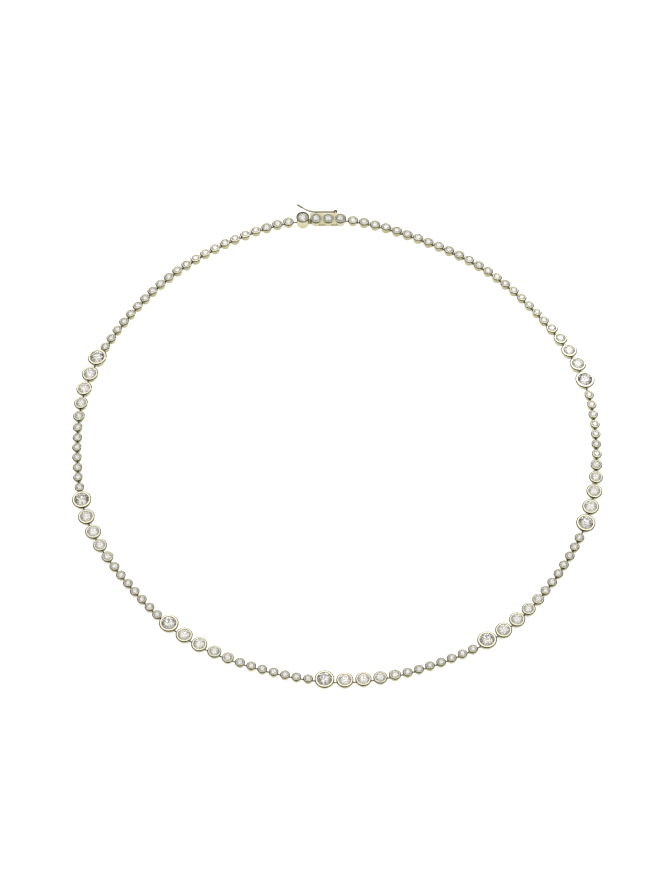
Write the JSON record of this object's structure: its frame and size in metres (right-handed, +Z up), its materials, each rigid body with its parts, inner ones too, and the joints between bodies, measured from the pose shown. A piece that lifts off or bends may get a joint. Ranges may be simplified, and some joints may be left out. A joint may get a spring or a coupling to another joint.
{
  "type": "riviere necklace",
  "caption": "Riviere necklace laid flat: bezel-set round stones on interlocked links, graduated groups, box clasp with hinged safety bar.",
  "frame": {"origin": "centre of the loop's outline, on the surface that the necklace lies on", "axes": "+Z up from the surface, +Y from the middle of the loop towards the clasp, +X to the right of the clasp"},
  "size_m": [0.13, 0.1388, 0.0031],
  "materials": {
    "gold": "pale yellow gold, polished, worn soft",
    "stone": "colourless cut stone, polished facets"
  },
  "bodies": {
    "necklace": {"chain_left": "gold", "chain_right": "gold", "stones_left": "stone", "stones_right": "stone", "lead_stone_1": "stone", "lead_stone_2": "stone", "lead_stone_3": "stone", "lead_stone_4": "stone", "lead_stone_5": "stone", "lead_stone_6": "stone", "lead_stone_7": "stone", "clasp_tongue": "gold", "clasp_tongue_stone": "stone", "clasp_box": "gold", "clasp_box_stone_1": "stone", "clasp_box_stone_2": "stone", "clasp_box_stone_3": "stone", "hinge_pin": "gold"},
    "bar": {"safety_bar": "gold"}
  },
  "joints": [
    {"name": "safety_bar_hinge", "type": "hinge", "parent": "necklace", "child": "bar", "pos_m": [-0.00043, 0.06716, 0.00128], "axis": [0, 1, 0], "range_deg": [0, 120]}
  ]
}
